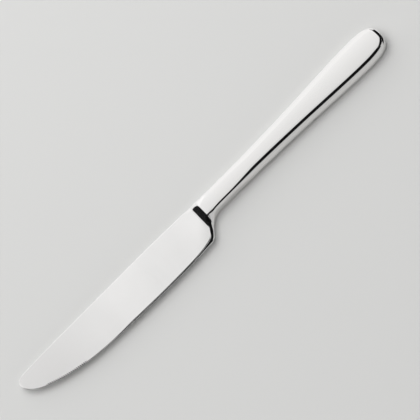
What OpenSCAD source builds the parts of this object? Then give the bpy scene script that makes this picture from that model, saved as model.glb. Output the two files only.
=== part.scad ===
// Table knife with a hollow handle, lying on its side.
// X runs from the butt to the tip, Y from the back of the blade to the cutting edge, Z up.
// The origin is under the middle of the knife, on the surface that it lies on.

/* [Overall] */
// Length of the knife from the butt to the tip
overall_l = 230; // [215:1:245]

/* [Handle] */
// Length of the handle shells, from the butt to their open mouth
handle_l = 106; // [98:1:112]
// Thickness of the handle and of the bolster
handle_t = 7.5; // [6.8:0.1:8.6]
// Width of the handle at its widest, near the butt
belly_w = 15.7; // [14:0.1:17.5]
// Width of the handle at its mouth
neck_w = 9.7; // [9:0.1:10.6]
// Distance of the widest place from the butt
belly_x = 14; // [11:0.5:18]
// Radius of the handle's long edges near the butt
belly_edge_r = 2.6; // [2.2:0.1:3]
// Radius of the edge round the butt's end
butt_edge_r = 1.6; // [1.4:0.1:2.4]
// Radius of the handle's long edges at the mouth
neck_edge_r = 1.45; // [1.4:0.05:2]
// Wall of the pressed shells
shell_wall = 0.9; // [0.7:0.05:1.1]

/* [Joints inside the handle] */
// Length of the spigot that fills the mouth of the shells
spigot_l = 6; // [4:0.5:9]
// Thickness of the brazing metal round the spigot
braze_t = 0.15; // [0.1:0.05:0.2]
// Width of the braze bead along the seam, measured inwards from the wall
bead_w = 0.7; // [0.5:0.1:0.9]
// Height of the braze bead across the seam
bead_h = 1.6; // [1.2:0.1:2]
// Length of the tang, from the mouth of the shells to its end
tang_l = 62; // [40:1:80]
// Width of the tang
tang_w = 5.4; // [4.4:0.1:5.8]
// Thickness of the tang
tang_t = 2.6; // [2:0.1:3.4]
// Radius of the tang's long edges
tang_edge_r = 0.4; // [0.3:0.1:0.6]

/* [Bolster] */
// Length of the bolster, from the mouth of the shells to its sloped step
bolster_l = 8.3; // [7:0.1:10]
// Length of the sloped step down to the blade
step_l = 3.3; // [2.5:0.1:4.5]
// Widening of the bolster's face from the mouth to the step, on the side of the cutting edge
face_flare = 0.58; // [0.3:0.02:0.9]
// Width of the round along the bolster's back where the step starts
crest_back_w = 3.8; // [2.4:0.1:4.2]
// Width of that round further down the step
step_back_w = 2; // [1.6:0.1:2.4]
// Length over which that round narrows on the blade
step_back_l = 5; // [3:0.5:8]

/* [Blade] */
// Distance of the blade's back from the handle's centre line
back_y = 6.3; // [5.8:0.1:7]
// Distance of the cutting edge from the handle's centre line
edge_y = 14.6; // [12:0.1:17]
// Thickness of the blade's back at the bolster
blade_t = 2.5; // [1.8:0.1:3]
// Thickness of the blade's back at the tip
tip_t = 1.2; // [1:0.1:1.6]
// Thickness of the blade where it turns into the cutting edge
edge_t = 0.7; // [0.6:0.1:1]
// Width of the ground and polished cutting edge
edge_grind_w = 1; // [0.5:0.1:1.2]
// Thickness of the sharpened stretch of the edge near the tip
sharp_t = 0.5; // [0.3:0.05:0.6]
// Width of the ground edge on the sharpened stretch
sharp_grind_w = 0.4; // [0.3:0.05:0.6]
// Distance from the tip at which the sharpened stretch starts
sharp_l = 60; // [45:1:75]
// Radius of the long edges of the blade's back
back_edge_r = 0.35; // [0.2:0.05:0.45]
// Length over which the back of the blade rises from the bolster
rise_l = 47; // [35:1:60]

/* [Tip] */
// Length of the curved front stretch of the cutting edge
curve_l = 80; // [60:1:95]
// Length over which the blade's back turns down to the tip
nose_l = 25; // [18:1:32]
// Distance of the foremost point from the blade's back, across the blade
nose_drop = 4; // [3:0.1:6]
// Width of the blunt end at the foremost point
nose_w = 1; // [0.8:0.1:1.6]
// Width of the blade from which the edge thickens again towards the blunt tip
blunt_w = 14; // [10:0.5:18]

/* [Heel] */
// Distance of the heel's rear line, where it leaves the neck, back from the step
heel_back = 1.1; // [0.6:0.1:2]
// Angle of the heel's rear line to the handle
heel_angle = 54; // [44:1:60]
// Height of the round between the neck and the heel's rear line
choil_round = 6.5; // [4:0.5:8]
// Height of the round at the heel's corner
heel_round = 2.5; // [2:0.5:4]
// Rise of the cutting edge from its lowest point to the heel
heel_rise = 0.9; // [0:0.1:1.5]
// Width of the softly rounded wall behind the heel
heel_wall_w = 3.2; // [2:0.1:3.6]
// Thickness of the blade behind the heel, next to the step
heel_t = 2.8; // [2:0.1:3.2]
// Length over which the heel's wall thins and narrows to the cutting edge
heel_thin_l = 18; // [12:1:24]

/* [Hidden] */

// Flat steps that make one quarter round of an edge
edge_steps = 5;
// Flat steps along each side of the handle, and round each half of its butt
side_steps = 20;
butt_steps = 14;
// Flat steps along the step, behind the heel, along the blade and round the tip
step_steps = 6;
heel_steps = 16;
blade_steps = 18;
nose_steps = 20;

// Swelling of the handle: share of the way from the neck to the belly, share of the widening
swell_shares = [[0, 0], [0.16, 0.12], [0.4, 0.3], [0.58, 0.5], [0.75, 0.745], [0.9, 0.94], [1, 1]];
// Rise of the blade's back: share of the rise's length, share of its height
rise_shares = [
    [0, 0], [0.07, 0.1], [0.14, 0.14], [0.22, 0.48],
    [0.3, 0.63], [0.42, 0.7], [0.6, 0.85], [1, 1]
];
// Front stretch of the cutting edge: root of the share of its length from the tip, share of its height
curve_shares = [
    [0, 0], [0.1, 0.12], [0.24, 0.36], [0.375, 0.56],
    [0.5, 0.73], [0.65, 0.88], [0.8, 0.955], [1, 1]
];
// Back of the tip, in the same way
nose_shares = [
    [0, 0], [0.1, 0.22], [0.17, 0.47], [0.3, 0.745],
    [0.4, 0.83], [0.6, 0.915], [0.8, 0.97], [1, 1]
];
// Part of the half thickness, and of the half width, that the long edges' rounds may take
grind_share = 0.85;
// Power of the curve of the wall behind the heel, where 2 is a plain round and 1 a straight slope
heel_power = 1.25;
// Part of the bolster's length after which its front edge starts to take that curve
heel_start_share = 0.5;
// Part of the step's length over which the round along its back narrows
crest_share = 0.75;
// Part of the swelling's length over which the long edges change their radius
edge_change_share = 0.22;
// Part of the belly's distance from the butt over which they change it again round the butt
butt_change_share = 0.6;
// Part of the sharpened stretch over which the edge thins
sharp_change_share = 0.27;
// How far the cross-sections behind the heel crowd towards the step
heel_crowding = 1.3;
// Power of the curve round the butt
butt_power = 2.75;

mid_z = handle_t / 2;
mouth_x = handle_l;
swell_x = mouth_x - spigot_l;
step_x = mouth_x + bolster_l;
blade_x = step_x + step_l;
heel_x = step_x - heel_back;
curve_x = overall_l - curve_l;
sharp_x = overall_l - sharp_l;
nose_y = nose_drop - back_y;
spigot_edge_r = neck_edge_r - shell_wall - braze_t;
centre_y = (edge_y - belly_w / 2) / 2;

function mix(a, b, share) = a + (b - a) * share;
function clamp(share) = min(1, max(0, share));
function ease(share) = clamp(share) * clamp(share) * (3 - 2 * clamp(share));

// The smaller or larger of two heights, with a round of the given height where they meet
function soft_min(a, b, round_h) = min(a, b) - pow(max(round_h - abs(a - b), 0), 2) / (4 * round_h);
function soft_max(a, b, round_h) = max(a, b) + pow(max(round_h - abs(a - b), 0), 2) / (4 * round_h);

// Smooth curve through a table of shares, level at both ends
function slope(table, i) = i <= 0 || i >= len(table) - 1 ? 0 :
    (table[i + 1][1] - table[i - 1][1]) / (table[i + 1][0] - table[i - 1][0]);
function row(table, share, i = 0) =
    i >= len(table) - 2 || share <= table[i + 1][0] ? i : row(table, share, i + 1);
function along(table, share) = let (
        i = row(table, share),
        gap = table[i + 1][0] - table[i][0],
        u = (share - table[i][0]) / gap
    )
    mix(table[i][1], table[i + 1][1], u * u * (3 - 2 * u))
    + gap * u * (1 - u) * ((1 - u) * slope(table, i) - u * slope(table, i + 1));

// Outline of the handle

// Half the handle's width between the belly and the mouth
function side_y(x) =
    mix(neck_w / 2, belly_w / 2, along(swell_shares, clamp((swell_x - x) / (swell_x - belly_x))));
// Radius of the handle's long edges
function edge_r(x) = mix(
    neck_edge_r,
    mix(butt_edge_r, belly_edge_r, ease(x / belly_x / butt_change_share)),
    ease((swell_x - x) / (swell_x - belly_x) / edge_change_share)
);

// Points on the cutting-edge side, from the mouth to the butt's middle
side_points = concat(
    [[mouth_x, neck_w / 2]],
    [for (i = [0:side_steps]) let (x = mix(swell_x, belly_x, i / side_steps)) [x, side_y(x)]],
    [for (i = [1:butt_steps]) let (turn = 90 * i / butt_steps) [
        belly_x - belly_x * pow(sin(turn), 2 / butt_power),
        belly_w / 2 * pow(max(cos(turn), 0), 2 / butt_power)
    ]]
);
last = len(side_points) - 1;
handle_points = concat(side_points, [for (i = [last - 1:-1:0]) [side_points[i][0], -side_points[i][1]]]);
columns = len(handle_points);

// Direction out of the handle at a point of its outline, square to the mouth at the mouth
function outward(k) = k <= 1 ? [0, 1] : k >= columns - 2 ? [0, -1] :
    let (
        before = handle_points[k - 1],
        after = handle_points[k + 1],
        run = after - before
    )
    [run[1], -run[0]] / norm(run);
outwards = [for (k = [0:columns - 1]) outward(k)];

// A point that lies a distance in from the outline, at a height over the seam
function inset(k, d, z) = [
    handle_points[k][0] - d * outwards[k][0],
    handle_points[k][1] - d * outwards[k][1],
    z
];

// Quarter round of a shell from its side wall to its face, a distance in from the outside
function shell_round(k, wall) = let (r = edge_r(handle_points[k][0])) [
    for (i = [0:edge_steps]) let (turn = 90 * i / edge_steps)
        inset(k, r - (r - wall) * cos(turn), mid_z - r + (r - wall) * sin(turn))
];
function shell_column(k, wall) = concat([inset(k, wall, 0)], shell_round(k, wall));
shell_rows = edge_steps + 2;

// Triangles of a sheet of points, given as columns of the same length, from the first point's index
function sheet(first, cols, rows, flip) = [
    for (k = [0:cols - 2], j = [0:rows - 2]) let (
            a = first + k * rows + j,
            b = a + 1,
            c = a + rows + 1,
            d = a + rows
        )
        each flip ? [[a, b, c], [a, c, d]] : [[a, c, b], [a, d, c]]
];
// Triangles across a flat face, between mirrored columns, along one row of a sheet
function across(first, cols, rows, at, flip) = [
    for (k = [0:(cols - 1) / 2 - 1]) let (
            a = first + k * rows + at,
            b = a + rows,
            d = first + (cols - 1 - k) * rows + at,
            c = d - rows
        )
        each b == c ? (flip ? [[a, d, b]] : [[a, b, d]])
            : flip ? [[a, c, b], [a, d, c]] : [[a, b, c], [a, c, d]]
];
// Triangles between two rows of points, each given by a start and a stride
function ribbon(a0, a_stride, b0, b_stride, count, flip) = [
    for (i = [0:count - 2]) let (
            a = a0 + i * a_stride,
            b = b0 + i * b_stride,
            c = b + b_stride,
            d = a + a_stride
        )
        each flip ? [[a, c, b], [a, d, c]] : [[a, b, c], [a, c, d]]
];

// One half of the handle, above the seam
module half_shell() {
    inner = columns * shell_rows;
    last_outer = (columns - 1) * shell_rows;
    top = shell_rows - 1;
    polyhedron(
        points = concat(
            [for (k = [0:columns - 1]) each shell_column(k, 0)],
            [for (k = [0:columns - 1]) each shell_column(k, shell_wall)]
        ),
        faces = concat(
            sheet(0, columns, shell_rows, true),
            sheet(inner, columns, shell_rows, false),
            across(0, columns, shell_rows, top, true),
            across(inner, columns, shell_rows, top, false),
            ribbon(0, shell_rows, inner, shell_rows, columns, true),
            ribbon(0, 1, inner, 1, shell_rows, false),
            ribbon(last_outer, 1, inner + last_outer, 1, shell_rows, true),
            ribbon(top, last_outer, inner + top, last_outer, 2, false)
        )
    );
}

// Cross-sections of the blade, bolster, spigot and tang

// Quarter of an ellipse round a centre, or of a curve of another power
function bent(a, power) = sign(a) * pow(abs(a), 2 / power);
function corner(y, z, half_w, half_h, from, power = 2) = [
    for (i = [0:edge_steps]) let (turn = from + 90 * i / edge_steps)
        [y + half_w * bent(cos(turn), power), z + half_h * bent(sin(turn), power)]
];
// Rounded wedge: the back at y0 and the front at y1, half as thick as half_h0 and half_h1, with rounds
function wedge(y0, y1, half_h0, half_h1, round_w0, round_h0, round_w1, round_h1, power1 = 2) = concat(
    corner(y1 - round_w1, half_h1 - round_h1, round_w1, round_h1, 0, power1),
    corner(y0 + round_w0, half_h0 - round_h0, round_w0, round_h0, 90),
    corner(y0 + round_w0, round_h0 - half_h0, round_w0, round_h0, 180),
    corner(y1 - round_w1, round_h1 - half_h1, round_w1, round_h1, 270, power1)
);
// Rounded bar, even on both sides
function bar(w, t, r) = wedge(-w / 2, w / 2, t / 2, t / 2, r, r, r, r);

mouth_section = bar(neck_w - 2 * shell_wall, handle_t - 2 * shell_wall, neck_edge_r - shell_wall);
spigot_section = bar(
    neck_w - 2 * (shell_wall + braze_t),
    handle_t - 2 * (shell_wall + braze_t),
    spigot_edge_r
);
tang_section = bar(tang_w, tang_t, tang_edge_r);

// Back of the bolster and blade
function rise_y(x) = mix(neck_w / 2, back_y, along(rise_shares, clamp((x - mouth_x) / rise_l)));
function tip_share(table, x, l) = along(table, sqrt(clamp((overall_l - x) / l)));
function back_at(x) = mix(nose_y - nose_w / 2, -rise_y(x), tip_share(nose_shares, x, nose_l));
// Cutting edge with the heel and the neck
function heel_line(x) = neck_w / 2 + (x - heel_x) * tan(heel_angle);
function edge_line(x) = edge_y - heel_rise * pow(clamp((curve_x - x) / (curve_x - blade_x)), 2);
function front_line(x) = soft_max(neck_w / 2, soft_min(edge_line(x), heel_line(x), heel_round), choil_round);
function front_at(x) = mix(nose_y + nose_w / 2, front_line(x), tip_share(curve_shares, x, curve_l));

// Half thicknesses at the back and at the edge, and the width of the edge's round
function back_half(x) = mix(blade_t / 2, tip_t / 2, clamp((x - blade_x) / (overall_l - blade_x)));
function thinning(x) = pow(1 - clamp((x - blade_x) / heel_thin_l), 2);
function narrowing(x) = pow(1 - clamp((x - blade_x) / heel_thin_l), 5);
function sharpening(x) = ease((x - sharp_x) / (sharp_l * sharp_change_share));
function edge_half(x) = mix(
    back_half(x),
    mix(mix(edge_t, sharp_t, sharpening(x)), heel_t, thinning(x)) / 2,
    clamp((front_at(x) - back_at(x)) / blunt_w)
);
function edge_round_w(x) = mix(mix(edge_grind_w, sharp_grind_w, sharpening(x)), heel_wall_w, narrowing(x));
// Width and height of the round along the back of the bolster, its step and the blade
function past_crest(x) = clamp((x - step_x) / (step_l * crest_share));
function back_round_w(x) = mix(
    x < step_x ? mix(neck_edge_r, crest_back_w, pow(clamp((x - mouth_x) / bolster_l), 3))
        : mix(step_back_w, crest_back_w, 1 - sqrt(1 - pow(1 - past_crest(x), 2))),
    back_edge_r,
    ease((x - blade_x) / step_back_l)
);
function back_round_h(x, half0) = mix(
    min(mix(neck_edge_r, step_back_w, ease((x - mouth_x) / bolster_l)), half0 * grind_share),
    back_edge_r,
    ease((x - blade_x) / step_back_l)
);
// Width of the round along the front: the bolster's face keeps a nearly straight edge up to the step
function flared(x) = face_flare * clamp((x - mouth_x) / bolster_l);
function front_round_w(x) = mix(
    neck_edge_r + front_at(x) - neck_w / 2 - flared(x),
    edge_round_w(x),
    ease((x - step_x) / step_l)
);
function front_power(x) = mix(
    2,
    heel_power,
    ease(1 - (step_x - x) / (bolster_l * (1 - heel_start_share))) * thinning(x)
);

function blade_section(x) = let (
        down = clamp((x - step_x) / step_l),
        half0 = mix(mid_z, back_half(x), down),
        half1 = mix(mid_z, edge_half(x), down),
        y0 = back_at(x),
        y1 = front_at(x),
        room = (y1 - y0) / 2 * grind_share,
        front_w = min(front_round_w(x), room)
    )
    wedge(
        y0, y1, half0, half1,
        min(back_round_w(x), room),
        back_round_h(x, half0),
        front_w,
        min(front_w, half1 * grind_share),
        front_power(x)
    );

// Places of the cross-sections from the mouth of the shells to the tip
blade_places = concat(
    [for (i = [0:heel_steps / 2 - 1]) mix(mouth_x, step_x, i / (heel_steps / 2))],
    [for (i = [0:step_steps - 1]) mix(step_x, blade_x, i / step_steps)],
    [for (i = [0:heel_steps - 1]) mix(blade_x, blade_x + heel_thin_l, pow(i / heel_steps, heel_crowding))],
    [for (i = [0:blade_steps - 1]) mix(blade_x + heel_thin_l, overall_l - 2 * nose_l, i / blade_steps)],
    [for (i = [0:nose_steps]) overall_l - 2 * nose_l * pow(1 - i / nose_steps, 2)]
);

function at_x(section, x) = [for (p = section) [x, p[0], p[1]]];

// Triangles across a cross-section that is even on both sides of the seam, from its first point's index
function cap(first, n, flip) = [
    for (j = [0:n / 2 - 2]) let (
            a = first + j,
            b = first + n - 1 - j
        )
        each flip ? [[a, a + 1, b - 1], [a, b - 1, b]] : [[a, b - 1, a + 1], [a, b, b - 1]]
];

// Solid through a list of cross-sections with the same number of points
module loft(sections) {
    n = len(sections[0]);
    end = (len(sections) - 1) * n;
    polyhedron(
        points = [for (s = sections) each s],
        faces = concat(
            [for (i = [0:len(sections) - 2], j = [0:n - 1]) let (
                    a = i * n + j,
                    b = i * n + (j + 1) % n,
                    c = b + n,
                    d = a + n
                )
                each [[a, c, b], [a, d, c]]
            ],
            cap(0, n, true),
            cap(end, n, false)
        )
    );
}

// Puts a piece that is drawn from the butt and the seam into the knife's own frame
module placed() {
    translate([-overall_l / 2, -centre_y, mid_z]) children();
}

module blade() {
    color("silver") placed() loft(concat(
        [for (x = [mouth_x - tang_l, swell_x]) at_x(tang_section, x)],
        [for (x = [swell_x, mouth_x]) at_x(spigot_section, x)],
        [for (x = blade_places) at_x(blade_section(x), x)]
    ));
}

module handle_shell_front() {
    color("gainsboro") placed() half_shell();
}

module handle_shell_back() {
    color("gainsboro") placed() mirror([0, 0, 1]) half_shell();
}

// Half round bead against the inner wall, from above the seam to below it
function bead_column(k) = [
    for (i = [0:edge_steps]) let (turn = 90 - 180 * i / edge_steps)
        inset(k, shell_wall + bead_w * max(cos(turn), 0), bead_h / 2 * sin(turn))
];
bead_rows = edge_steps + 1;

module seam_braze() {
    used = columns - 2;
    color("goldenrod") placed() polyhedron(
        points = [for (k = [1:columns - 2]) each bead_column(k)],
        faces = concat(
            sheet(0, used, bead_rows, true),
            ribbon(0, bead_rows, bead_rows - 1, bead_rows, used, true),
            [for (j = [1:bead_rows - 2]) [0, j + 1, j]],
            [for (j = [1:bead_rows - 2]) let (e = (used - 1) * bead_rows) [e, e + j, e + j + 1]]
        )
    );
}

module neck_braze() {
    color("goldenrod") placed() translate([swell_x, 0, 0]) rotate([90, 0, 90])
        linear_extrude(spigot_l) difference() {
            polygon(mouth_section);
            polygon(spigot_section);
        }
}

// Outside of the cement, from the middle of the top face down past the bead to the bottom face
function cement_column(k) = let (
        upper = shell_round(k, shell_wall),
        n = len(upper)
    )
    concat(
        [for (i = [n - 1:-1:0]) upper[i]],
        bead_column(k),
        [for (i = [0:n - 1]) [upper[i][0], upper[i][1], -upper[i][2]]]
    );

module handle_cement() {
    used = columns - 2;
    rows = 2 * (edge_steps + 1) + bead_rows;
    color("darkgray") placed() difference() {
        polyhedron(
            points = [for (k = [1:columns - 2]) each cement_column(k)],
            faces = concat(
                sheet(0, used, rows, false),
                across(0, used, rows, 0, true),
                across(0, used, rows, rows - 1, false),
                ribbon(0, 1, (used - 1) * rows, 1, rows, true)
            )
        );
        translate([mouth_x - tang_l, 0, 0]) rotate([90, 0, 90])
            linear_extrude(tang_l) polygon(tang_section);
    }
}

blade();
handle_shell_front();
handle_shell_back();
seam_braze();
neck_braze();
handle_cement();
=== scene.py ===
"""Looks of the table knife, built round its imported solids.

The finer pieces repeat the solids' outlines with more faces. They add a faint crown to the faces, rounder
long edges, softened edges on the bolster's step and the fine teeth near the tip. Lengths are in millimetres
from the butt, the handle's centre line and the seam, as the solids were drawn, until they go into a mesh.
Places and sizes in the studio are in metres, in the shared frame.
"""

import math

import bmesh
import bpy
import numpy as np
from mathutils import Matrix, Vector


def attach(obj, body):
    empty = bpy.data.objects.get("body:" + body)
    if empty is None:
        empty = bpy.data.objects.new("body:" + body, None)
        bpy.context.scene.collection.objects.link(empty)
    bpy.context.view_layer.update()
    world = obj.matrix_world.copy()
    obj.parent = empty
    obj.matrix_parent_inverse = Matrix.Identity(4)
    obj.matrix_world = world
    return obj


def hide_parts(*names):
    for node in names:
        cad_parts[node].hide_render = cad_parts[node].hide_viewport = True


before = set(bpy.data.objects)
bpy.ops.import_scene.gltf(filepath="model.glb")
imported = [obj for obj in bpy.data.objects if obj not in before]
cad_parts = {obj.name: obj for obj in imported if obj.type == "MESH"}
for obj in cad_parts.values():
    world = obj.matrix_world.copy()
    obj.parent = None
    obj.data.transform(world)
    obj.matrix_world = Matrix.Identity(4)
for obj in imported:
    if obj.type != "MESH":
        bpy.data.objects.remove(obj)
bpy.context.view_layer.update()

MM = 0.001
QUARTER = 90.0          # degrees in a quarter turn

# Handle, as in the solids
OVERALL_L = 230.0
HANDLE_L = 106.0
HANDLE_T = 7.5
BELLY_W = 15.7
NECK_W = 9.7
BELLY_X = 14.0
SHELL_WALL = 0.9
EDGE_CHANGE_SHARE = 0.22
BUTT_CHANGE_SHARE = 0.6
BUTT_POWER = 2.75

# Tang, spigot and bolster, as in the solids
SPIGOT_L = 6.0
BRAZE_T = 0.15
TANG_L = 62.0
TANG_W = 5.4
TANG_T = 2.6
TANG_EDGE_R = 0.4
BOLSTER_L = 8.3
STEP_L = 3.3
FACE_FLARE = 0.58
CREST_BACK_W = 3.8
CREST_POWER = 3
CREST_SHARE = 0.75
STEP_BACK_W = 2.0
STEP_BACK_L = 5.0

# Blade, as in the solids
BACK_Y = 6.3
EDGE_Y = 14.6
BLADE_T = 2.5
TIP_T = 1.2
EDGE_T = 0.7
SHARP_T = 0.5
SHARP_GRIND_W = 0.4
SHARP_L = 60.0
SHARP_CHANGE_SHARE = 0.27
BACK_EDGE_R = 0.35
RISE_L = 47.0
CURVE_L = 80.0
NOSE_L = 25.0
NOSE_DROP = 4.0
NOSE_W = 1.0
BLUNT_W = 14.0
GRIND_SHARE = 0.85
ROUND_POWER = 2.0       # of a plain elliptic round

# Heel, as in the solids
HEEL_BACK = 1.1
HEEL_ANGLE = math.radians(54)
CHOIL_ROUND = 6.5
HEEL_ROUND = 2.5
HEEL_RISE = 0.9
HEEL_T = 2.8
HEEL_THIN_L = 18.0
HEEL_THIN_POWER = 2
HEEL_POWER = 1.25
HEEL_START_SHARE = 0.5

# Rounds a little larger than the solids have, for the width of the dark lines on the polished edges
BELLY_EDGE_R = 3.17
BUTT_EDGE_R = 1.95
NECK_EDGE_R = 1.77
EDGE_GRIND_W = 1.15
HEEL_WALL_W = 3.3
HEEL_WALL_POWER = 4

# Shares of the length and of the height, from start to end, of each smooth change
SWELL_SHARES = [(0, 0), (0.16, 0.12), (0.4, 0.3), (0.58, 0.5), (0.75, 0.745), (0.9, 0.94), (1, 1)]
RISE_SHARES = [
    (0, 0), (0.07, 0.1), (0.14, 0.14), (0.22, 0.48), (0.3, 0.63), (0.42, 0.7), (0.6, 0.85), (1, 1),
]
CURVE_SHARES = [
    (0, 0), (0.1, 0.12), (0.24, 0.36), (0.375, 0.56), (0.5, 0.73), (0.65, 0.88), (0.8, 0.955), (1, 1),
]
NOSE_SHARES = [
    (0, 0), (0.1, 0.22), (0.17, 0.47), (0.3, 0.745), (0.4, 0.83), (0.6, 0.915), (0.8, 0.97), (1, 1),
]

MID_Z = HANDLE_T / 2
MOUTH_X = HANDLE_L
SWELL_X = MOUTH_X - SPIGOT_L
STEP_X = MOUTH_X + BOLSTER_L
BLADE_X = STEP_X + STEP_L
HEEL_X = STEP_X - HEEL_BACK
CURVE_X = OVERALL_L - CURVE_L
SHARP_X = OVERALL_L - SHARP_L
NOSE_Y = NOSE_DROP - BACK_Y
CENTRE_Y = (EDGE_Y - BELLY_W / 2) / 2

# Finer forms that the solids leave out
CROWN_TILT = 0.045      # slope of the handle's evenly crowned faces at its sides
CROWN_EDGE = 3.0        # how much of that slope is added again next to the long edges
CROWN_POWER = 6         # how closely the added slope keeps to them
BLADE_CROWN_TILT = 0.008
STEP_ROUND = 0.28       # length that is softened at the top of the bolster's step
STEP_FOOT = 0.6         # and at its foot
TEETH_FROM = 200.0
TEETH_TO = 221.5
TEETH_FADE_L = 1.5      # length over which the teeth grow and shrink at both ends of their row
TOOTH_PITCH = 1.0
TOOTH_DEPTH = 0.3       # how far the teeth cut in from the edge
FLUTE_L = 0.9           # how far each tooth's flute runs up the face
FLUTE_SHARE = 0.9       # share of the blade's thickness that a flute takes away at the edge
TEETH_MARGIN = 2.0      # how far before the row a point can lie and still be looked at
FLUTE_MARGIN = 2.25     # and how far from the edge
EDGE_LINE_LEAD = 3.0    # how far before the row the edge's length starts to be measured
EDGE_LINE_POINTS = 4000


def mix(a, b, share):
    return a + (b - a) * share


def clamp(share):
    return np.clip(share, 0.0, 1.0)


def ease(share):
    share = clamp(share)
    return share * share * (3 - 2 * share)


def soft_min(a, b, round_h):
    return np.minimum(a, b) - np.maximum(round_h - np.abs(a - b), 0) ** 2 / (4 * round_h)


def soft_max(a, b, round_h):
    return np.maximum(a, b) + np.maximum(round_h - np.abs(a - b), 0) ** 2 / (4 * round_h)


def along(table, share):
    """Smooth curve through a table of shares, level at both ends."""
    at = np.array([row[0] for row in table])
    height = np.array([row[1] for row in table])
    slopes = np.zeros(len(at))
    slopes[1:-1] = (height[2:] - height[:-2]) / (at[2:] - at[:-2])
    share = np.asarray(share, float)
    i = np.clip(np.searchsorted(at, share, side="left") - 1, 0, len(at) - 2)
    gap = at[i + 1] - at[i]
    u = (share - at[i]) / gap
    bend = gap * u * (1 - u) * ((1 - u) * slopes[i] - u * slopes[i + 1])
    return mix(height[i], height[i + 1], u * u * (3 - 2 * u)) + bend


# Outlines and thicknesses, all as functions of the place along the knife

def side_y(x):
    return mix(NECK_W / 2, BELLY_W / 2, along(SWELL_SHARES, clamp((SWELL_X - x) / (SWELL_X - BELLY_X))))


def edge_r(x):
    swollen = mix(BUTT_EDGE_R, BELLY_EDGE_R, ease(x / BELLY_X / BUTT_CHANGE_SHARE))
    return mix(NECK_EDGE_R, swollen, ease((SWELL_X - x) / (SWELL_X - BELLY_X) / EDGE_CHANGE_SHARE))


def rise_y(x):
    return mix(NECK_W / 2, BACK_Y, along(RISE_SHARES, clamp((x - MOUTH_X) / RISE_L)))


def tip_share(table, x, length):
    return along(table, np.sqrt(clamp((OVERALL_L - x) / length)))


def back_at(x):
    return mix(NOSE_Y - NOSE_W / 2, -rise_y(x), tip_share(NOSE_SHARES, x, NOSE_L))


def front_line(x):
    heel = NECK_W / 2 + (x - HEEL_X) * math.tan(HEEL_ANGLE)
    edge = EDGE_Y - HEEL_RISE * clamp((CURVE_X - x) / (CURVE_X - BLADE_X)) ** 2
    return soft_max(NECK_W / 2, soft_min(edge, heel, HEEL_ROUND), CHOIL_ROUND)


def front_at(x):
    return mix(NOSE_Y + NOSE_W / 2, front_line(x), tip_share(CURVE_SHARES, x, CURVE_L))


def heel_share(x, power):
    """1 up to where the blade starts, then falling to 0 at the end of its thick heel."""
    return (1 - clamp((x - BLADE_X) / HEEL_THIN_L)) ** power


def sharpening(x):
    return ease((x - SHARP_X) / (SHARP_L * SHARP_CHANGE_SHARE))


def back_half(x):
    return mix(BLADE_T / 2, TIP_T / 2, clamp((x - BLADE_X) / (OVERALL_L - BLADE_X)))


def edge_half(x):
    ground = mix(mix(EDGE_T, SHARP_T, sharpening(x)), HEEL_T, heel_share(x, HEEL_THIN_POWER)) / 2
    return mix(back_half(x), ground, clamp((front_at(x) - back_at(x)) / BLUNT_W))


def edge_round_w(x):
    ground = mix(EDGE_GRIND_W, SHARP_GRIND_W, sharpening(x))
    return mix(ground, HEEL_WALL_W, heel_share(x, HEEL_WALL_POWER))


def back_round_w(x):
    if x < STEP_X:
        on_bolster = mix(NECK_EDGE_R, CREST_BACK_W, clamp((x - MOUTH_X) / BOLSTER_L) ** CREST_POWER)
    else:
        past_crest = clamp((x - STEP_X) / (STEP_L * CREST_SHARE))
        on_bolster = mix(STEP_BACK_W, CREST_BACK_W, 1 - math.sqrt(1 - (1 - past_crest) ** 2))
    return mix(on_bolster, BACK_EDGE_R, ease((x - BLADE_X) / STEP_BACK_L))


def back_round_h(x, half0):
    on_bolster = min(mix(NECK_EDGE_R, STEP_BACK_W, ease((x - MOUTH_X) / BOLSTER_L)), half0 * GRIND_SHARE)
    return mix(on_bolster, BACK_EDGE_R, ease((x - BLADE_X) / STEP_BACK_L))


def front_round_w(x):
    flared = FACE_FLARE * clamp((x - MOUTH_X) / BOLSTER_L)
    on_bolster = NECK_EDGE_R + front_at(x) - NECK_W / 2 - flared
    return mix(on_bolster, edge_round_w(x), ease((x - STEP_X) / STEP_L))


def front_power(x):
    on_heel = ease(1 - (STEP_X - x) / (BOLSTER_L * (1 - HEEL_START_SHARE)))
    return mix(ROUND_POWER, HEEL_POWER, on_heel * heel_share(x, HEEL_THIN_POWER))


def step_down(x):
    """Share of the way down the bolster's step, with its two corners softened."""
    share = (x - STEP_X) / STEP_L
    return soft_min(soft_max(share, 0.0, STEP_ROUND / STEP_L), 1.0, STEP_FOOT / STEP_L)


def crowned(points):
    """The same points with faintly crowned faces: heights shrink towards the long edges."""
    x, y, z = points[..., 0], points[..., 1], points[..., 2]
    on_blade = ease((x - STEP_X) / STEP_L)
    half_w = side_y(x)
    across = np.minimum(np.abs(y / half_w), 1.0)
    crown = across ** 2 / 2 + CROWN_EDGE * across ** CROWN_POWER / CROWN_POWER
    handle_drop = CROWN_TILT * half_w * crown
    y0, y1 = back_at(x), front_at(x)
    blade_half_w = np.maximum((y1 - y0) / 2, NOSE_W / 2)
    across = np.clip((y - (y0 + y1) / 2) / blade_half_w, -1.0, 1.0)
    blade_drop = BLADE_CROWN_TILT * blade_half_w * across ** 2 / 2
    out = points.copy()
    out[..., 2] = z * (1 - mix(handle_drop / MID_Z, blade_drop / (BLADE_T / 2), on_blade))
    return out


# Meshes

MERGE_GAP = 1e-7        # points closer than this become one, in metres
NO_LENGTH = 1e-8        # and edges shorter than this are dissolved
SHARP_ANGLE = math.radians(32)


def to_frame(points):
    """Points from the butt, the centre line and the seam, in millimetres, as places in the shared frame."""
    return (points + np.array([-OVERALL_L / 2, -CENTRE_Y, MID_Z])) * MM


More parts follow.
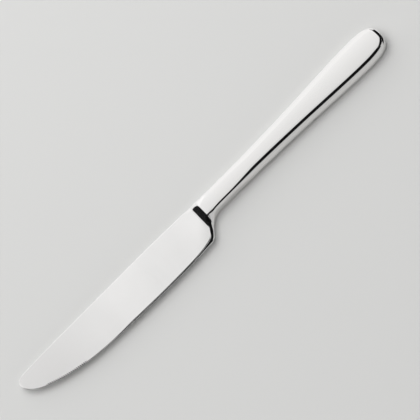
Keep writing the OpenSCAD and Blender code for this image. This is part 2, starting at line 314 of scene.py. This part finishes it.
def make_piece(name, points, faces, node, material):
    """A smooth-shaded mesh that stands for a CAD node."""
    mesh = bpy.data.meshes.new(name)
    mesh.from_pydata(to_frame(points).tolist(), [], faces)
    mesh.validate()
    bm = bmesh.new()
    bm.from_mesh(mesh)
    bmesh.ops.remove_doubles(bm, verts=bm.verts, dist=MERGE_GAP)
    bmesh.ops.dissolve_degenerate(bm, edges=bm.edges, dist=NO_LENGTH)
    bmesh.ops.recalc_face_normals(bm, faces=bm.faces)
    bm.to_mesh(mesh)
    bm.free()
    mesh.polygons.foreach_set("use_smooth", [True] * len(mesh.polygons))
    mesh.set_sharp_from_angle(angle=SHARP_ANGLE)
    piece = bpy.data.objects.new(name, mesh)
    bpy.context.scene.collection.objects.link(piece)
    weighted = piece.modifiers.new("Flat faces stay flat", "WEIGHTED_NORMAL")
    weighted.mode = "FACE_AREA"
    weighted.keep_sharp = True
    piece.data.materials.append(material)
    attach(piece, "root")
    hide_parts(node)


def grid_faces(first, columns, rows, flip=False, closed=False):
    """Quads of a sheet of points, given as columns of the same length; closed joins last row to first."""
    faces = []
    for k in range(columns - 1):
        for j in range(rows if closed else rows - 1):
            a = first + k * rows + j
            b = first + k * rows + (j + 1) % rows
            c, d = b + rows, a + rows
            faces.append((a, b, c, d) if flip else (a, d, c, b))
    return faces


# Blade, bolster, spigot and tang

ROUND_STEPS = 12        # points on each round
FACE_STEPS = 10         # and across each face
NEAR_STEPS = 6          # and across the flutes of the teeth
NEAR_SHARE = 0.25       # share of a face that these last ones take at most

# Gaps between the blade's cross sections, smallest where the form turns quickly
BOLSTER_GAP = 0.5
CORNER_GAP = 0.06
CORNER_SPAN = 0.6       # length before and behind each of the step's two corners with the gap above
STEP_GAP = 0.15
HEEL_GAP = 0.2
BLADE_GAP = 0.8
TEETH_GAP = 0.11
TEETH_LEAD = 1.0        # how far before the teeth the sections come closer together
TIP_SPAN = 6.0          # length at the very tip, where the gaps shrink to nothing
TIP_SECTIONS = 40


def bent(a, power):
    return np.sign(a) * np.abs(a) ** (2 / power)


def corner(y, z, half_w, half_h, start, power=ROUND_POWER):
    """A quarter of an ellipse, or of a squarer or flatter round, from the angle start onwards."""
    turn = np.radians(start + QUARTER * np.arange(ROUND_STEPS + 1) / ROUND_STEPS)
    across = y + half_w * bent(np.cos(turn), power)
    return np.stack([across, z + half_h * bent(np.sin(turn), power)], axis=1)


def between(a, b, near=0.0):
    """Points on the straight line from a to b, without its ends, closer together near the ends.

    near is a length that starts at a and gets rows of its own.
    """
    share = (1 - np.cos(np.pi * np.arange(1, FACE_STEPS) / FACE_STEPS)) / 2
    if near > 0:
        near_share = min(near / float(np.linalg.norm(b - a)), NEAR_SHARE)
        share = np.concatenate([
            near_share * np.arange(1, NEAR_STEPS + 1) / NEAR_STEPS,
            near_share + (1 - near_share) * share,
        ])
    return a + (b - a) * share[:, None]


def wedge(y0, y1, half0, half1, w0, h0, w1, h1, power1=ROUND_POWER):
    """Cross section from y0 to y1, half0 and half1 thick there to either side, with its four rounds."""
    front_top = corner(y1 - w1, half1 - h1, w1, h1, 0, power1)
    back_top = corner(y0 + w0, half0 - h0, w0, h0, QUARTER)
    back_low = corner(y0 + w0, h0 - half0, w0, h0, 2 * QUARTER)
    front_low = corner(y1 - w1, h1 - half1, w1, h1, 3 * QUARTER, power1)
    return np.concatenate([
        front_top, between(front_top[-1], back_top[0], FLUTE_L), back_top,
        back_low, between(front_low[0], back_low[-1], FLUTE_L)[::-1], front_low,
    ])


def bar(w, t, r):
    return wedge(-w / 2, w / 2, t / 2, t / 2, r, r, r, r)


def blade_section(x):
    down = float(step_down(x))
    half0 = mix(MID_Z, float(back_half(x)), down)
    half1 = mix(MID_Z, float(edge_half(x)), down)
    y0, y1 = float(back_at(x)), float(front_at(x))
    room = (y1 - y0) / 2 * GRIND_SHARE
    front_w = min(float(front_round_w(x)), room)
    return wedge(
        y0, y1, half0, half1,
        min(float(back_round_w(x)), room), float(back_round_h(x, half0)),
        front_w, min(front_w, half1 * GRIND_SHARE), float(front_power(x)),
    )


def spaced(a, b, gap):
    """Places from a up to b, without b itself, about gap apart."""
    return list(np.linspace(a, b, max(2, int(math.ceil((b - a) / gap)) + 1))[:-1])


def blade_places():
    """Places of the cross sections from the handle's mouth to the tip."""
    ends = (
        MOUTH_X, STEP_X - CORNER_SPAN, STEP_X + CORNER_SPAN, BLADE_X - CORNER_SPAN, BLADE_X + CORNER_SPAN,
        BLADE_X + HEEL_THIN_L, TEETH_FROM - TEETH_LEAD, OVERALL_L - TIP_SPAN,
    )
    gaps = (BOLSTER_GAP, CORNER_GAP, STEP_GAP, CORNER_GAP, HEEL_GAP, BLADE_GAP, TEETH_GAP)
    places = []
    for a, b, gap in zip(ends, ends[1:], gaps):
        places += spaced(a, b, gap)
    return places + [OVERALL_L - TIP_SPAN * (1 - i / TIP_SECTIONS) ** 2 for i in range(TIP_SECTIONS + 1)]


def at_x(section, x):
    return np.column_stack([np.full(len(section), x), section])


def blade_sections():
    cover = SHELL_WALL + BRAZE_T
    spigot = bar(NECK_W - 2 * cover, HANDLE_T - 2 * cover, NECK_EDGE_R - cover)
    tang = bar(TANG_W, TANG_T, TANG_EDGE_R)
    return (
        [at_x(tang, x) for x in (MOUTH_X - TANG_L, SWELL_X)]
        + [at_x(spigot, x) for x in (SWELL_X, MOUTH_X)]
        + [at_x(blade_section(x), x) for x in blade_places()]
    )


def toothed(points):
    """The same points with scallops cut square to the edge, found by each point's nearest place on it."""
    line_x = np.linspace(TEETH_FROM - EDGE_LINE_LEAD, OVERALL_L, EDGE_LINE_POINTS)
    line_y = front_at(line_x)
    line_s = np.concatenate([[0], np.cumsum(np.hypot(np.diff(line_x), np.diff(line_y)))])
    row_from, row_to = np.interp((TEETH_FROM, TEETH_TO), line_x, line_s)
    in_row = points[:, 0] > TEETH_FROM - TEETH_MARGIN
    by_edge = points[:, 1] > front_at(points[:, 0]) - FLUTE_MARGIN
    out = points.copy()
    for i in np.nonzero(in_row & by_edge)[0]:
        x, y, z = points[i]
        distances = np.hypot(line_x - x, line_y - y)
        k = int(np.argmin(distances))
        s = line_s[k]
        fade = float(ease((s - row_from) / TEETH_FADE_L) * ease((row_to - s) / TEETH_FADE_L))
        scallop = max(0.0, math.cos(2 * math.pi * s / TOOTH_PITCH))
        depth = fade * scallop * float(clamp(1 - distances[k] / FLUTE_L))
        if depth > 0:
            before, after = max(k - 1, 0), min(k + 1, len(line_x) - 1)
            run = np.array([line_x[after] - line_x[before], line_y[after] - line_y[before]])
            inward = np.array([run[1], -run[0]]) / np.linalg.norm(run)
            out[i, :2] += inward * depth * TOOTH_DEPTH
            out[i, 2] = z * (1 - FLUTE_SHARE * depth)
    return out


def blade_mesh():
    sections = blade_sections()
    rows = len(sections[0])
    last = (len(sections) - 1) * rows
    faces = grid_faces(0, len(sections), rows, closed=True)
    for j in range(rows // 2 - 1):
        faces.append((j, j + 1, rows - 2 - j, rows - 1 - j))
        faces.append((last + rows - 1 - j, last + rows - 2 - j, last + j + 1, last + j))
    return crowned(toothed(np.concatenate(sections))), faces


# Handle shells

SIDE_COLUMNS = 110
BUTT_COLUMNS = 48
WALL_STEPS = 3


def side_line():
    """Points from the mouth along the handle's side to the middle of the butt, and the ways out there."""
    turns = np.radians(QUARTER * np.arange(1, BUTT_COLUMNS + 1) / BUTT_COLUMNS)
    places = [MOUTH_X] + list(np.linspace(SWELL_X, BELLY_X, SIDE_COLUMNS))
    points = np.concatenate([
        np.array([[x, float(side_y(x))] for x in places]),
        np.stack([
            BELLY_X - BELLY_X * np.sin(turns) ** (2 / BUTT_POWER),
            BELLY_W / 2 * np.maximum(np.cos(turns), 0) ** (2 / BUTT_POWER),
        ], axis=1),
    ])
    points[-1] = [0.0, 0.0]
    run = np.zeros_like(points)
    run[1:-1] = points[2:] - points[:-2]
    outwards = np.stack([run[:, 1], -run[:, 0]], axis=1)
    outwards[:2] = [0, 1]
    outwards[-1] = [-1, 0]
    return points, outwards / np.linalg.norm(outwards, axis=1)[:, None]


def arch(place, outward, wall):
    """Points of one shell from the seam on one side over the face to the seam on the other side."""
    x, y = place
    r = float(edge_r(x))
    heights = [(wall, (MID_Z - r) * j / WALL_STEPS) for j in range(WALL_STEPS)]
    for i in range(ROUND_STEPS + 1):
        turn = math.radians(QUARTER * i / ROUND_STEPS)
        heights.append((r - (r - wall) * math.cos(turn), MID_Z - r + (r - wall) * math.sin(turn)))
    side = np.array([[x - inset * outward[0], y - inset * outward[1], z] for inset, z in heights])
    other = side[::-1] * np.array([1, -1, 1])
    return np.concatenate([side, between(side[-1], other[0]), other])


def half_shell(up):
    """One half shell, drawn above the seam and turned over where up is -1."""
    stations = list(zip(*side_line()))
    outer = [arch(place, outward, 0.0) for place, outward in stations]
    inner = [arch(place, outward, SHELL_WALL) for place, outward in stations]
    columns, rows = len(outer), len(outer[0])
    points = crowned(np.concatenate(outer + inner))
    points[:, 2] *= up
    first = columns * rows
    faces = grid_faces(0, columns, rows) + grid_faces(first, columns, rows, flip=True)
    for j in range(rows - 1):
        faces.append((j, j + 1, first + j + 1, first + j))
    for k in range(columns - 1):
        a, b = k * rows, (k + 1) * rows
        faces.append((a, first + a, first + b, b))
        a, b = a + rows - 1, b + rows - 1
        faces.append((a, b, first + b, first + a))
    return points, faces


# Materials

EVEN = (1, 1, 1)
PATCHES = 45.0          # patches of duller polish to the metre
POLISH_LOW = 0.1        # range that the product of the patches and the polishing lines covers
POLISH_HIGH = 0.45

# Polishing lines to the metre along each axis: lengthwise on the handle, across the blade
HANDLE_LINES = (30, 1800, 1800)
BLADE_LINES = (1500, 40, 1500)


class Nodes:
    """Short way to add and join a material's nodes."""

    def __init__(self, material):
        material.use_nodes = True
        self.tree = material.node_tree
        self.shader = next(x for x in self.tree.nodes if x.type == "BSDF_PRINCIPLED")

    def add(self, kind, **sockets):
        made = self.tree.nodes.new(kind)
        for name, value in sockets.items():
            made.inputs[name.replace("_", " ")].default_value = value
        return made

    def join(self, a, b):
        self.tree.links.new(a, b)

    def noise(self, scale, size=1.0, detail=3.0, rough=0.55):
        """Noise stretched along the axes in metres, as one of the surface's own grains."""
        place = self.add("ShaderNodeTexCoord")
        mapping = self.add("ShaderNodeMapping", Scale=scale)
        grain = self.add("ShaderNodeTexNoise", Scale=size, Detail=detail, Roughness=rough)
        self.join(place.outputs["Object"], mapping.inputs["Vector"])
        self.join(mapping.outputs["Vector"], grain.inputs["Vector"])
        return grain.outputs["Fac"]

    def spread(self, value, low=0.0, high=1.0, from_low=0.3, from_high=0.7):
        made = self.add(
            "ShaderNodeMapRange", From_Min=from_low, From_Max=from_high, To_Min=low, To_Max=high)
        self.join(value, made.inputs["Value"])
        return made.outputs["Result"]

    def product(self, a, b):
        made = self.add("ShaderNodeMath")
        made.operation = "MULTIPLY"
        self.join(a, made.inputs[0])
        self.join(b, made.inputs[1])
        return made.outputs[0]

    def colour(self, share, light, dark):
        """The surface's colour, from light to dark by a share."""
        made = self.add("ShaderNodeMix")
        made.data_type = "RGBA"
        made.inputs["A"].default_value = (*light, 1)
        made.inputs["B"].default_value = (*dark, 1)
        self.join(share, made.inputs["Factor"])
        self.join(made.outputs["Result"], self.shader.inputs["Base Color"])

    def bump(self, height, strength, distance):
        made = self.add("ShaderNodeBump", Strength=strength, Distance=distance)
        self.join(height, made.inputs["Height"])
        self.join(made.outputs["Normal"], self.shader.inputs["Normal"])


def polished_steel(name, light, dark, line_scale, rough_low, rough_high):
    """Mirror-polished steel: faint polishing lines along the grain, patches of slightly duller polish."""
    material = bpy.data.materials.new(name)
    nodes = Nodes(material)
    nodes.shader.inputs["Metallic"].default_value = 1.0
    patches = nodes.noise(EVEN, PATCHES)
    lines = nodes.noise(line_scale, detail=4.0, rough=0.65)
    nodes.colour(nodes.spread(patches), light, dark)
    both = nodes.product(patches, lines)
    roughness = nodes.spread(both, rough_low, rough_high, POLISH_LOW, POLISH_HIGH)
    nodes.join(roughness, nodes.shader.inputs["Roughness"])
    nodes.bump(lines, strength=0.06, distance=0.00004)
    return material


def grained(name, light, dark, metallic, size, detail, rough, rough_low, rough_high, strength, distance):
    """A material whose one even grain gives its colour, dullness and bumps, for what the handle hides."""
    material = bpy.data.materials.new(name)
    nodes = Nodes(material)
    nodes.shader.inputs["Metallic"].default_value = metallic
    grain = nodes.noise(EVEN, size, detail, rough)
    nodes.colour(nodes.spread(grain), light, dark)
    nodes.join(nodes.spread(grain, rough_low, rough_high), nodes.shader.inputs["Roughness"])
    nodes.bump(grain, strength, distance)
    return material


handle_steel = polished_steel(
    "Handle steel", light=(0.795, 0.785, 0.775), dark=(0.78, 0.773, 0.763),
    line_scale=HANDLE_LINES, rough_low=0.05, rough_high=0.10)
blade_steel = polished_steel(
    "Blade steel", light=(0.79, 0.782, 0.775), dark=(0.775, 0.77, 0.763),
    line_scale=BLADE_LINES, rough_low=0.06, rough_high=0.12)
braze = grained(
    "Brazing metal", light=(0.82, 0.74, 0.54), dark=(0.70, 0.60, 0.40), metallic=1.0,
    size=900.0, detail=5.0, rough=0.55, rough_low=0.3, rough_high=0.5, strength=0.3, distance=0.0001)
cement = grained(
    "Set cement", light=(0.42, 0.39, 0.36), dark=(0.30, 0.28, 0.25), metallic=0.0,
    size=1400.0, detail=6.0, rough=0.7, rough_low=0.8, rough_high=0.95, strength=0.5, distance=0.0002)

blade_points, blade_faces = blade_mesh()
make_piece("Blade", blade_points, blade_faces, "blade", blade_steel)
for name, node, up in (("Handle.Front", "handle_shell_front", 1), ("Handle.Back", "handle_shell_back", -1)):
    shell_points, shell_faces = half_shell(up)
    make_piece(name, shell_points, shell_faces, node, handle_steel)

for node, material in (("seam_braze", braze), ("neck_braze", braze), ("handle_cement", cement)):
    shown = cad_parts[node]
    shown.data.materials.clear()
    shown.data.materials.append(material)


# Studio, with sizes in metres and angles in degrees from straight up, plus being towards the cutting edge

STUDIO_R = 0.8
RING_STEPS = 24
FLOOR_HALF = 3.0
FLOOR_COLOUR = (0.70, 0.70, 0.69)
CLOTH_COLOUR = (0.012, 0.012, 0.013)
BLACK = (0, 0, 0)
MATT = 0.9

# Angles where the soft boxes and the flags beside them begin and end
HORIZON = -90
SIDE_EDGE = -45         # of the light beyond the blade's tip
BOX_EDGE = -10          # of the soft boxes over the knife
OVER_EDGE = 8           # of the one right above the handle, so that this shines from above too
SLOT_FROM = 1.5         # of the bright slot that the blade mirrors from straight above
SLOT_TO = 6.0
BACK_EDGE = 15          # where Flag.heel ends, and Flag.back and Flag.near begin
BACK_FLAG_EDGE = 42
BLADE_FLAG_EDGE = 47
HANDLE_FLAG_EDGE = 54.7

# Places along the knife where they begin and end
BACK_X = -1.3
HEEL_FLAG_X = -0.86
END_LIGHT_X = -0.54
NEAR_X = -0.4
BUTT_X = -0.2           # where the box right above the handle starts
BOX_JOIN_X = 0.004      # where the handle's soft box meets the blade's
SLOT_X0 = 0.03
SLOT_X1 = 0.14
BLADE_LIGHT_X = 0.65
SIDE_LIGHT_X = 0.66
FRONT_X = 1.4
SLOT_R_SHARE = 0.99     # of the studio's radius, so that the slot hangs just below the flag

# Strengths of what glows evenly
SIDE_GLOW = 1.06
SLOT_GLOW = 0.8
CARD_GLOW = 1.08
SKY_GLOW = 0.64

# Each ramp of a soft box has its axis, two places and the strengths there; the last one is its soft edge
OUTER_RAMP = ("Y", -0.37, -0.18, 1.14, 0.86)
HANDLE_RAMPS = (OUTER_RAMP, ("Y", -0.215, -0.139, 1.0, 0.0))
OVER_RAMPS = (OUTER_RAMP, ("Y", 0.049, 0.111, 1.0, 0.0))
BLADE_RAMPS = (
    ("X", 0.075, 0.14, 1.02, 0.86),
    ("Y", -0.42, -0.3, 1.16, 1.0),
    ("Y", -0.26, -0.17, 1.05, 0.95),
    ("Y", -0.18, -0.139, 1.0, 0.0),
)

# Upright flags, each with its place along the knife and its two sides, foot and top
UPRIGHT_FLAGS = (
    ("Flag.tip", 0.9, -0.55, -0.04, 0.0, 1.3),
    ("Flag.tip.mid", 0.9, -0.04, 0.1, 0.45, 1.3),
    ("Flag.tip.far", 0.9, 0.1, 0.4, 0.0, 1.3),
    ("Flag.butt", -0.9, -0.8, 0.17, 0.36, 1.4),
)

# Small flags that stand and lie just behind the butt
END_X = -0.135
END_TO_X = -0.124
END_Y0 = -0.022
END_FOOT_Y1 = 0.025
END_TOP_Y1 = 0.014
END_LOW_Y1 = 0.02
END_H = 0.018
END_LOW_Z = 0.0006

# White card that lies on the floor along the knife's back
CARD_X0 = -0.6
CARD_X1 = 0.9
CARD_Y1 = -0.006
CARD_Z = 0.0005


def plain(name, colour, glow=None):
    """A stage material: matt colour, or light of its own where glow is given."""
    material = bpy.data.materials.new(name)
    nodes = Nodes(material)
    nodes.shader.inputs["Base Color"].default_value = (*colour, 1)
    nodes.shader.inputs["Roughness"].default_value = MATT
    nodes.shader.inputs["Specular IOR Level"].default_value = 0.0
    if glow is not None:
        nodes.shader.inputs["Emission Color"].default_value = (1, 1, 1, 1)
        nodes.shader.inputs["Emission Strength"].default_value = glow
    return material


def soft_box(name, ramps):
    """Material of a soft box, whose strength is the product of its ramps."""
    material = bpy.data.materials.new(name)
    material.use_nodes = True
    tree = material.node_tree
    tree.nodes.clear()
    out = tree.nodes.new("ShaderNodeOutputMaterial")
    glow = tree.nodes.new("ShaderNodeEmission")
    place = tree.nodes.new("ShaderNodeTexCoord")
    parts = tree.nodes.new("ShaderNodeSeparateXYZ")
    tree.links.new(place.outputs["Object"], parts.inputs["Vector"])
    strength = None
    for axis, a, b, at_a, at_b in ramps:
        ramp = tree.nodes.new("ShaderNodeMapRange")
        ramp.interpolation_type = "SMOOTHSTEP"
        for socket, value in (("From Min", a), ("From Max", b), ("To Min", at_a), ("To Max", at_b)):
            ramp.inputs[socket].default_value = value
        tree.links.new(parts.outputs[axis], ramp.inputs["Value"])
        if strength is None:
            strength = ramp.outputs["Result"]
            continue
        product = tree.nodes.new("ShaderNodeMath")
        product.operation = "MULTIPLY"
        tree.links.new(strength, product.inputs[0])
        tree.links.new(ramp.outputs["Result"], product.inputs[1])
        strength = product.outputs[0]
    tree.links.new(strength, glow.inputs["Strength"])
    tree.links.new(glow.outputs["Emission"], out.inputs["Surface"])
    return material


def stage_sheet(name, points, faces, material, in_camera=False):
    """A sheet of the studio, seen only in reflections and as light unless in_camera is set."""
    mesh = bpy.data.meshes.new(name)
    mesh.from_pydata(points, [], faces)
    sheet = bpy.data.objects.new(name, mesh)
    bpy.context.scene.collection.objects.link(sheet)
    sheet.data.materials.append(material)
    if not in_camera:
        sheet.visible_camera = False
        sheet.visible_shadow = False
    return sheet


def flat_sheet(name, corners, material, in_camera=False):
    return stage_sheet(name, corners, [(0, 1, 2, 3)], material, in_camera)


def level(x0, x1, y0, y1, z):
    """Corners of a sheet that lies level."""
    return [(x0, y0, z), (x1, y0, z), (x1, y1, z), (x0, y1, z)]


def ring_sheet(name, from_deg, to_deg, x0, x1, material, radius=STUDIO_R):
    """A sheet bent round the knife's long axis."""
    points = []
    for i in range(RING_STEPS + 1):
        a = math.radians(mix(from_deg, to_deg, i / RING_STEPS))
        for x in (x0, x1):
            points.append((x, radius * math.sin(a), radius * math.cos(a)))
    faces = [(2 * i, 2 * i + 1, 2 * i + 3, 2 * i + 2) for i in range(RING_STEPS)]
    return stage_sheet(name, points, faces, material)


flat_sheet(
    "Floor", level(-FLOOR_HALF, FLOOR_HALF, -FLOOR_HALF, FLOOR_HALF, 0),
    plain("Floor paper", FLOOR_COLOUR), in_camera=True)

dark = plain("Black cloth", CLOTH_COLOUR)
for name, from_deg, to_deg, x0, x1, material in (
    ("Soft.end", HORIZON, BOX_EDGE, END_LIGHT_X, BUTT_X, soft_box("End light", HANDLE_RAMPS)),
    ("Soft.handle", HORIZON, OVER_EDGE, BUTT_X, BOX_JOIN_X, soft_box("Handle light", OVER_RAMPS)),
    ("Soft.blade", HORIZON, BOX_EDGE, BOX_JOIN_X, BLADE_LIGHT_X, soft_box("Blade light", BLADE_RAMPS)),
    ("Soft.side", HORIZON, SIDE_EDGE, SIDE_LIGHT_X, FRONT_X, plain("Side light", BLACK, SIDE_GLOW)),
    ("Flag.back", BACK_EDGE, BACK_FLAG_EDGE, BACK_X, NEAR_X, dark),
    ("Flag.near", BACK_EDGE, HANDLE_FLAG_EDGE, NEAR_X, BUTT_X, dark),
    ("Flag.heel", BOX_EDGE, BACK_EDGE, HEEL_FLAG_X, BUTT_X, dark),
    ("Flag.handle", OVER_EDGE, HANDLE_FLAG_EDGE, BUTT_X, BOX_JOIN_X, dark),
    ("Flag.blade", BOX_EDGE, BLADE_FLAG_EDGE, BOX_JOIN_X, FRONT_X, dark),
):
    ring_sheet(name, from_deg, to_deg, x0, x1, material)
ring_sheet(
    "Soft.slot", SLOT_FROM, SLOT_TO, SLOT_X0, SLOT_X1, plain("Slot light", BLACK, SLOT_GLOW),
    radius=STUDIO_R * SLOT_R_SHARE)

for name, x, y0, y1, z0, z1 in UPRIGHT_FLAGS:
    flat_sheet(name, [(x, y0, z0), (x, y1, z0), (x, y1, z1), (x, y0, z1)], dark)

end_corners = [
    (END_X, END_Y0, 0.0), (END_X, END_FOOT_Y1, 0.0),
    (END_X, END_TOP_Y1, END_H), (END_X, END_Y0, END_H),
]
low_corners = [
    (END_X, END_Y0, END_LOW_Z), (END_TO_X, END_Y0, END_LOW_Z),
    (END_TO_X, END_LOW_Y1, END_LOW_Z), (END_X, END_FOOT_Y1, END_LOW_Z),
]
card_corners = level(CARD_X0, CARD_X1, -STUDIO_R, CARD_Y1, CARD_Z)
for name, corners, material in (
    ("Flag.end", end_corners, dark),
    ("Flag.low", low_corners, dark),
    ("Card.back", card_corners, plain("White card", BLACK, CARD_GLOW)),
):
    flat_sheet(name, corners, material).visible_diffuse = False

# Fill light, aimed at the middle of the frame
FILL_PLACE = Vector((0.1, -0.1, 1.3))
FILL_L = 1.6
FILL_W = 1.2
FILL_POWER = 14.0

lamp = bpy.data.lights.new("Fill", "AREA")
lamp.shape = "RECTANGLE"
lamp.size = FILL_L
lamp.size_y = FILL_W
lamp.energy = FILL_POWER
fill = bpy.data.objects.new("Fill", lamp)
fill.location = FILL_PLACE
fill.rotation_euler = (-FILL_PLACE).to_track_quat("-Z", "Y").to_euler()
fill.visible_glossy = False
bpy.context.scene.collection.objects.link(fill)

scene = bpy.context.scene
world = bpy.data.worlds.new("Studio")
scene.world = world
world.use_nodes = True
sky = next(x for x in world.node_tree.nodes if x.type == "BACKGROUND")
sky.inputs["Color"].default_value = (1, 1, 1, 1)
sky.inputs["Strength"].default_value = SKY_GLOW
scene.view_settings.view_transform = "Standard"


# Camera, looking from the photograph's direction with a very long lens

TILT = math.radians(20)
LOOK_AT = Vector((-3.128, -1.532, 3.75)) * MM
PHOTO_W = 420           # pixels
PX_PER_MM = 2.19
LENS = 500.0
SENSOR_W = 36.0
CLIP_FROM = 0.1
CLIP_TO = 20.0

lens = bpy.data.cameras.new("Camera")
lens.lens = LENS
lens.sensor_width = SENSOR_W
lens.clip_start = CLIP_FROM
lens.clip_end = CLIP_TO
camera = bpy.data.objects.new("Camera", lens)
scene.collection.objects.link(camera)
towards = Vector((0, math.sin(TILT), math.cos(TILT)))
right = Vector((-1, math.cos(TILT), -math.sin(TILT))).normalized()
up = towards.cross(right)
distance = PHOTO_W / PX_PER_MM * MM * LENS / SENSOR_W
turned = Matrix((right, up, towards)).transposed().to_4x4()
camera.matrix_world = Matrix.Translation(LOOK_AT + towards * distance) @ turned
scene.camera = camera
